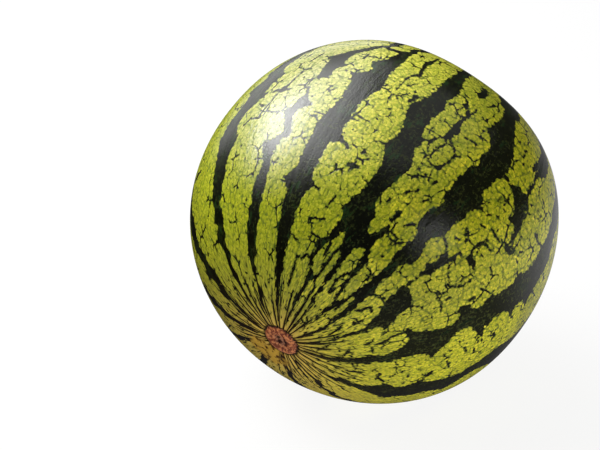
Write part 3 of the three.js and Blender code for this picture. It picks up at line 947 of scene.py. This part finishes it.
class RindGraph(Graph):
    """The rind's material. Sizes and distances in it are in millimetres."""

    def __init__(self):
        super().__init__("watermelon_rind")
        self.place = self.node("UVMap", uv_map="pattern").outputs[0]
        metres = self.node("TexCoord").outputs["Object"]
        self.solid_place = self.stretched(metres, (1 / MM, 1 / MM, 1 / MM))
        self.free = self.value("freedom")
        self.gold = self.value("gold")
        along = self.value("along")
        self.from_blossom = self.math("MULTIPLY", along, math.radians(BLOSSOM_LENGTH))
        self.from_stem = self.line(along, -math.radians(STEM_LENGTH), math.pi * STEM_LENGTH)
        lobe_place = self.shaken(self.place, 7, 2.6)
        grain_place = self.shaken(self.place, 2.4, 1.1)
        self.lobes = self.cells(lobe_place, LOBE)
        self.lobe_border = self.border(lobe_place, LOBE)
        self.grains = self.cells(grain_place, GRAIN)
        self.grain_border = self.border(grain_place, GRAIN)

    def light_level(self):
        """How far inside the light colour a point is, with lobed, grainy edges round all that is dark."""
        grains = self.times(self.line(self.grains["Distance"], -1.4, 0.6), self.line(self.free, -0.5, 1))
        small_lobes = self.cells(self.shaken(self.place, 5, 2.4), SMALL_LOBE)["Distance"]
        free_lobes = self.times(self.free, self.line(self.lobes["Distance"], -5, 2.1))
        held_lobes = self.times(self.line(self.free, -1, 1), self.line(small_lobes, -1.8, 0.8))
        level = self.add(self.value("stripe_depth"), free_lobes, held_lobes, grains)
        near_scar = self.ramp(self.from_blossom, 34, 18, 0, 2)
        ragged = self.add(near_scar, self.times(grains, 0.8))
        marks = [self.add(mark, ragged) for mark in (self.crack(), self.dash(), self.hole())]
        marks += [self.vein(grains), self.radial_line(), self.near_crack(grains)]
        return self.all_of("MINIMUM", [level, *marks])

    def vein(self, grains):
        ragged = self.line(self.noise(self.place, 1.6), 0.9, -0.55)
        return self.add(self.value("vein_depth"), ragged, self.times(grains, 0.6))

    def crack(self):
        """Seams between the lobes, which open into dark cracks where lobes meet."""
        where = self.add(self.lobes["Distance"], self.line(self.noise(self.place, 13), 1.3, -0.65))
        half_width = self.add(self.ramp(where, 0.48, 0.88, -1.4, 0.6), self.line(self.free, 0.15))
        return self.past(self.lobe_border, LOBE, half_width)

    def near_crack(self, grains):
        """Thin cracks between the long lobes that run out of the blossom scar."""
        place = self.shaken(self.stretched(self.place, NEAR_STRETCH), 6, 2.2)
        half_width = self.ramp(self.noise(self.place, 5), 0.4, 0.66, -0.5, 0.7)
        too_far = self.ramp(self.from_blossom, 50, 65, 0, 2)
        too_near = self.ramp(self.from_blossom, 24, 16, 0, 2)
        crack = self.past(self.border(place, NEAR_LOBE), NEAR_LOBE, half_width)
        return self.add(crack, too_far, too_near, self.times(grains, 0.6))

    def dash(self):
        """Short dark dashes between grains."""
        half_width = self.ramp(self.noise(self.place, 2.6), 0.6, 0.78, -1.2, 0.26)
        return self.past(self.grain_border, GRAIN, half_width)

    def hole(self):
        """Small ragged holes in the light colour."""
        holes = self.cells(self.shaken(self.place, 1.8, 1.6), HOLE_SPACING)
        half_width = self.ramp(self.channel(holes["Color"]), 0.62, 1, -1.2, 0.8)
        return self.past(holes["Distance"], HOLE_SPACING, half_width)

    def radial_line(self):
        """Thin lines that run out of the blossom scar."""
        turn = self.node("SeparateXYZ", {0: self.shaken(self.place, 14, 5)}).outputs[0]
        inputs = {"W": turn, "Scale": 1 / RADIAL_SPACING}
        lines = self.node("TexVoronoi", inputs, feature="DISTANCE_TO_EDGE", voronoi_dimensions="1D")
        shrink = self.math("SINE", self.math("DIVIDE", self.from_blossom, BLOSSOM_LENGTH))
        reach = self.add(self.from_blossom, self.line(self.noise(self.place, 9, 1), 70, -35))
        thinner = self.ramp(self.from_blossom, 14, 30, -0.2, 0)
        half_width = self.add(thinner, self.ramp(reach, 25, 75, 0.75, -1.1))
        return self.past(lines.outputs["Distance"], self.math("MULTIPLY", shrink, RADIAL_SPACING), half_width)

    def light_colour(self, level):
        tone = self.add(self.noise(self.place, 22, 3), self.line(self.value("warmth"), 1.2, -0.8))
        colour = self.mix(self.ramp(tone, 0.35, 0.65), LIGHT_GREEN, LIGHT_YELLOW)
        colour = self.mix(self.ramp(self.channel(self.lobes["Color"]), 0, 1, 0, 0.4), colour, LIGHT_OLIVE)
        # painted light along the fruit's top
        colour = self.mix(self.value("painted_top_light"), colour, PAINTED_TOP_LIGHT)
        # painted highlight high on the left shoulder, and pale wax on the far side
        colour = self.mix(self.value("painted_highlight_and_bloom"), colour, PAINTED_HIGHLIGHT_AND_BLOOM)
        colour = self.grained(colour)
        broken = self.ramp(self.noise(self.place, 11), 0.35, 0.6, 0.1, 0.6)
        seam = self.times(broken, self.ramp(self.lobe_border, 0.12, 0.02))
        colour = self.mix(seam, colour, FRINGE)
        rim = self.times(self.ramp(level, 0.3, 0.9), self.ramp(level, 2.2, 1.2, 0, 0.7))
        colour = self.mix(rim, colour, LIFT, "MULTIPLY")
        colour = self.mix(self.gold, colour, GOLD)
        fringe = self.times(self.ramp(level, 0.9, 0.1), self.ramp(self.noise(self.place, 5), 0.35, 0.7))
        return self.mix(self.line(fringe, 0.7), colour, FRINGE)

    def grained(self, colour):
        """Fine light grains with green between them, and small dark dots where grains meet."""
        speckle = self.math("SUBTRACT", self.noise(self.place, SPECKLE, 2, 0.6), 0.5)
        speckle = self.line(speckle, self.ramp(self.from_blossom, 12, 30, 0.6, 1), 0.5)
        colour = self.mix(self.ramp(speckle, 0.5, 0.68), colour, LIFT, "MULTIPLY")
        shades = (
            self.ramp(speckle, 0.5, 0.34, 0, 0.8),
            self.ramp(self.channel(self.grains["Color"]), 0.5, 0, 0, 0.5),
            self.ramp(self.grain_border, 0.25, 0.02, 0, 0.7),
        )
        for shade in shades:
            colour = self.mix(shade, colour, SHADE, "MULTIPLY")
        where = self.ramp(self.noise(self.place, 3), 0.4, 0.56)
        dots = self.times(self.ramp(self.grains["Distance"], 0.48, 0.68, 0, 0.8), where)
        return self.mix(dots, colour, FRINGE)

    def dark_colour(self):
        """Near black, with fine flecks and long green wisps in patches, and olive on the sun's side."""
        fleck = self.noise(self.place, 2.4, 3, 0.65)
        patch = self.noise(self.place, 12)
        wisps = self.noise(self.stretched(self.place, (1, 0.3, 1)), 3.2, 3, 0.6)
        warm = self.ramp(self.value("warmth"), 0.6, 0.95)
        flecked = self.ramp(self.add(fleck, self.line(patch, 0.5, -0.25)), 0.49, 0.72)
        wispy = self.ramp(self.add(wisps, self.line(patch, 0.7, -0.35)), 0.59, 0.77)
        flecks = self.mix(warm, DARK_FLECK, OLIVE_FLECK)
        colour = self.mix(wispy, self.mix(flecked, self.mix(warm, DARK, DARK_OLIVE), flecks), WISP)
        return self.mix(self.times(self.gold, 0.85), colour, DARK_BROWN)

    def with_scab(self, colour):
        """A patch of lumpy cork beside the scar, on the underside. Its lumps are painted, not shaped: gold
        tops with painted shade between them.
        """
        lump_shading = self.noise(self.solid_place, 4.5, 3, 0.6, "3D")
        # gold lump tops, with painted shade between them
        cork = self.mix(self.ramp(lump_shading, 0.4, 0.52), SCAB_PAINTED_SHADE, SCAB)
        ragged = self.line(self.noise(self.solid_place, 7, 3, 0.6, "3D"), 1.2, -0.6)
        return self.mix(self.ramp(self.add(self.value("scab"), ragged), 0.35, 0.75), colour, cork)

    def with_scar(self, colour, from_middle):
        """The blossom scar: a dark hollow in a speckled ring, with a crease round it. Its edges are ragged,
        because from_middle is a ragged distance from the blossom end."""
        speckle = self.noise(self.solid_place, 2.4, 4, 0.7, "3D")
        ring = self.mix(self.ramp(speckle, 0.44, 0.56), RING_DARK, RING_LIGHT)
        hollow = self.mix(self.ramp(speckle, 0.46, 0.58), HOLLOW_DARK, HOLLOW_LIGHT)
        cork = self.mix(self.ramp(from_middle, 3.2, 6.2), hollow, ring)
        in_crease = self.ramp(from_middle, BUTTON_RADIUS + 1.9, BUTTON_RADIUS - 0.1)
        in_ring = self.ramp(from_middle, BUTTON_RADIUS - 0.2, BUTTON_RADIUS - 1.2)
        return self.mix(in_ring, self.mix(in_crease, colour, CREASE), cork)

    def with_stalk(self, colour, in_stalk):
        grain = self.noise(self.stretched(self.place, (0.3, 1, 1)), 3, 4, 0.7)
        return self.mix(in_stalk, colour, self.mix(self.ramp(grain, 0.3, 0.7), BARK_DARK, BARK_LIGHT))

    def bump(self, level):
        """Shallow pores and a slight lengthwise unevenness, with the dark marks a little lower."""
        pores = self.noise(self.place, 1.3, 3)
        streaks = self.noise(self.stretched(self.place, (1, 0.22, 1)), 3.4)
        swell = self.ramp(level, -0.5, 0.8)
        height = self.add(pores, self.times(streaks, 1.6), self.times(swell, 0.5))
        inputs = {"Height": height, "Strength": BUMP_STRENGTH, "Distance": BUMP_HEIGHT * MM}
        return self.node("Bump", inputs).outputs[0]


def rind_material():
    graph = RindGraph()
    level = graph.light_level()
    colour = graph.mix(graph.ramp(level, -0.3, 0.3), graph.dark_colour(), graph.light_colour(level))
    from_middle = graph.add(graph.from_blossom, graph.line(graph.noise(graph.place, 9), 3.2, -1.6))
    in_stalk = graph.ramp(graph.from_stem, STALK_RADIUS + STALK_FOOT + 1.5, STALK_RADIUS + 0.5)
    colour = graph.with_scar(graph.with_scab(colour), from_middle)
    colour = graph.with_stalk(colour, in_stalk)

    in_scar = graph.ramp(from_middle, BUTTON_RADIUS + 0.5, BUTTON_RADIUS - 1.5)
    dull = graph.math("MAXIMUM", in_scar, in_stalk)
    wax = graph.line(graph.noise(graph.place, 14, 3), WORN, ROUGHNESS)
    roughness = graph.add(wax, graph.times(dull, DULL))
    inputs = {"Base Color": colour, "Roughness": roughness, "Normal": graph.bump(level)}
    shader = graph.node("BsdfPrincipled", inputs)
    shader.inputs["IOR"].default_value = WAX_IOR
    graph.set(graph.node("OutputMaterial").inputs[0], shader.outputs[0])
    return graph.material


# ---------------------------------------------------------------- studio, in metres

PHOTO_SIZE = (600, 450)  # pixels
MIDDLE_PIXEL = (376.36, 218.13)  # where the fruit's middle is in the picture
HALF_WIDTH_PIXELS = 182.3  # of the fruit in the picture
HALF_WIDTH = 0.122  # of the fruit as the camera sees it
AZIMUTH = math.radians(33.97)  # of the camera, from the fruit's middle
ELEVATION = math.radians(29.1)
LENS = 100  # millimetres
SENSOR = 36
PIXELS_PER_METRE = HALF_WIDTH_PIXELS / HALF_WIDTH

# Each soft light's azimuth and elevation in degrees, distance from the fruit's middle, size, and brightness,
# which is what a mirror would show, 1 being paper white
LIGHTS = {
    "key": (-82, 42, 1.2, (0.7, 0.5), 8.5),
    "key_glow": (-82, 48, 1.2, (1.6, 1.2), 1.9),
    "high": (-75, 70, 1.2, (1.0, 0.7), 1.6),
    "back_left": (-125, 42, 1.2, (0.9, 0.7), 1.0),
    "left_wall": (-125, 6, 1.6, (1.6, 0.5), 1.1),
    "ceiling": (180, 75, 1.2, (1.5, 1.5), 0.35),
    "fill": (66, 20, 1.3, (0.45, 0.4), 1.3),
}
ROOM_BRIGHTNESS = 0.03

FLOOR_HALF = 4.0
FLOOR_SEEN = 0.9  # how brightly the floor glows for the camera
FLOOR_GREY = 0.1  # its colour under the lights, in which the fruit's shadow shows
FLOOR_SIDES = (-0.35, 0.25)  # X on the wedge's side and on the open side, where the next two pairs hold
FLOOR_BOUNCE = (0.35, 1.6)  # glow that lights the rind
FLOOR_MIRRORED = (0.04, 0.65)  # glow that the rind's gloss shows
SHADE_EDGE = (0.15, 0.5)  # distances from the resting spot between which the fruit's own shade fades
SHADE_LEFT = (0.74, 1)  # share of the bounce that is left at both
FLOOR_FRONT = (0.0, 0.3)  # Y beside the fruit and behind it, between which the mirrored glow rises
FRONT_MIRRORED = 0.1  # share of it on the front part
FLOOR_FAR = (0.35, 0.8)  # distances between which it falls again
FAR_MIRRORED = 0.4  # share of it past them


def direction(azimuth, elevation):
    """Unit vector from the fruit's middle, with azimuth 0 towards -Y and 90 towards +X, in radians."""
    level = math.cos(elevation)
    return Vector((math.sin(azimuth) * level, -math.cos(azimuth) * level, math.sin(elevation)))


def make_camera():
    camera = bpy.data.objects.new("camera", bpy.data.cameras.new("camera"))
    camera.data.lens = LENS
    camera.data.sensor_width = SENSOR
    camera.data.clip_start = 0.01
    back = direction(AZIMUTH, ELEVATION)
    right = Vector((math.cos(AZIMUTH), math.sin(AZIMUTH), 0))
    up = back.cross(right)
    distance = LENS / SENSOR * PHOTO_SIZE[0] / PIXELS_PER_METRE
    aside = (MIDDLE_PIXEL[0] - PHOTO_SIZE[0] / 2) / PIXELS_PER_METRE
    above = (MIDDLE_PIXEL[1] - PHOTO_SIZE[1] / 2) / PIXELS_PER_METRE
    camera.location = Vector(MIDDLE) * MM + back * distance - right * aside + up * above
    camera.rotation_euler = back.to_track_quat("Z", "Y").to_euler()
    bpy.context.scene.collection.objects.link(camera)
    bpy.context.scene.camera = camera


def make_light(name, azimuth, elevation, distance, size, brightness):
    light = bpy.data.lights.new(name, "AREA")
    light.shape = "RECTANGLE"
    light.size, light.size_y = size
    light.energy = brightness * math.pi * size[0] * size[1]
    lamp = bpy.data.objects.new(name, light)
    away = direction(math.radians(azimuth), math.radians(elevation))
    lamp.location = Vector(MIDDLE) * MM + away * distance
    lamp.rotation_euler = away.to_track_quat("Z", "Y").to_euler()
    lamp.visible_camera = False
    bpy.context.scene.collection.objects.link(lamp)


def make_studio():
    scene = bpy.context.scene
    scene.view_settings.view_transform = "Standard"
    world = bpy.data.worlds.new("studio")
    world.use_nodes = True
    background = world.node_tree.nodes["Background"]
    background.inputs["Color"].default_value = (1, 1, 1, 1)
    background.inputs["Strength"].default_value = ROOM_BRIGHTNESS
    scene.world = world
    for name, settings in LIGHTS.items():
        make_light(name, *settings)


def floor_material():
    """A white that glows by one amount for the camera, and by others for the rind's light and its gloss."""
    graph = Graph("floor")
    ray = graph.node("LightPath").outputs
    place = graph.node("NewGeometry").outputs["Position"]
    axes = graph.node("SeparateXYZ", {0: place}).outputs
    away = graph.node("VectorMath", {0: place}, operation="LENGTH").outputs["Value"]
    shade = graph.ramp(away, *SHADE_EDGE, *SHADE_LEFT)
    bounce = graph.times(graph.ramp(axes["X"], *FLOOR_SIDES, *FLOOR_BOUNCE), shade)
    behind = graph.ramp(axes["Y"], *FLOOR_FRONT, FRONT_MIRRORED, 1)
    far = graph.ramp(away, *FLOOR_FAR, 1, FAR_MIRRORED)
    mirrored = graph.times(graph.ramp(axes["X"], *FLOOR_SIDES, *FLOOR_MIRRORED), behind, far)
    glow = graph.add(
        graph.times(ray["Is Camera Ray"], FLOOR_SEEN),
        graph.times(ray["Is Diffuse Ray"], bounce),
        graph.times(ray["Is Glossy Ray"], mirrored),
    )
    grey = graph.times(ray["Is Camera Ray"], FLOOR_GREY)
    colour = graph.node("CombineColor", {0: grey, 1: grey, 2: grey}).outputs[0]
    shader = graph.node("BsdfPrincipled", {"Base Color": colour, "Emission Strength": glow})
    shader.inputs["Roughness"].default_value = 1
    shader.inputs["Specular IOR Level"].default_value = 0
    shader.inputs["Emission Color"].default_value = (1, 1, 1, 1)
    graph.set(graph.node("OutputMaterial").inputs[0], shader.outputs[0])
    return graph.material


def make_floor():
    mesh = bpy.data.meshes.new("floor")
    corners = [(x * FLOOR_HALF, y * FLOOR_HALF, 0) for x, y in ((-1, -1), (1, -1), (1, 1), (-1, 1))]
    mesh.from_pydata(corners, [], [(0, 1, 2, 3)])
    mesh.materials.append(floor_material())
    floor = bpy.data.objects.new("floor", mesh)
    bpy.context.scene.collection.objects.link(floor)


make_camera()
make_studio()
make_floor()
make_skin()
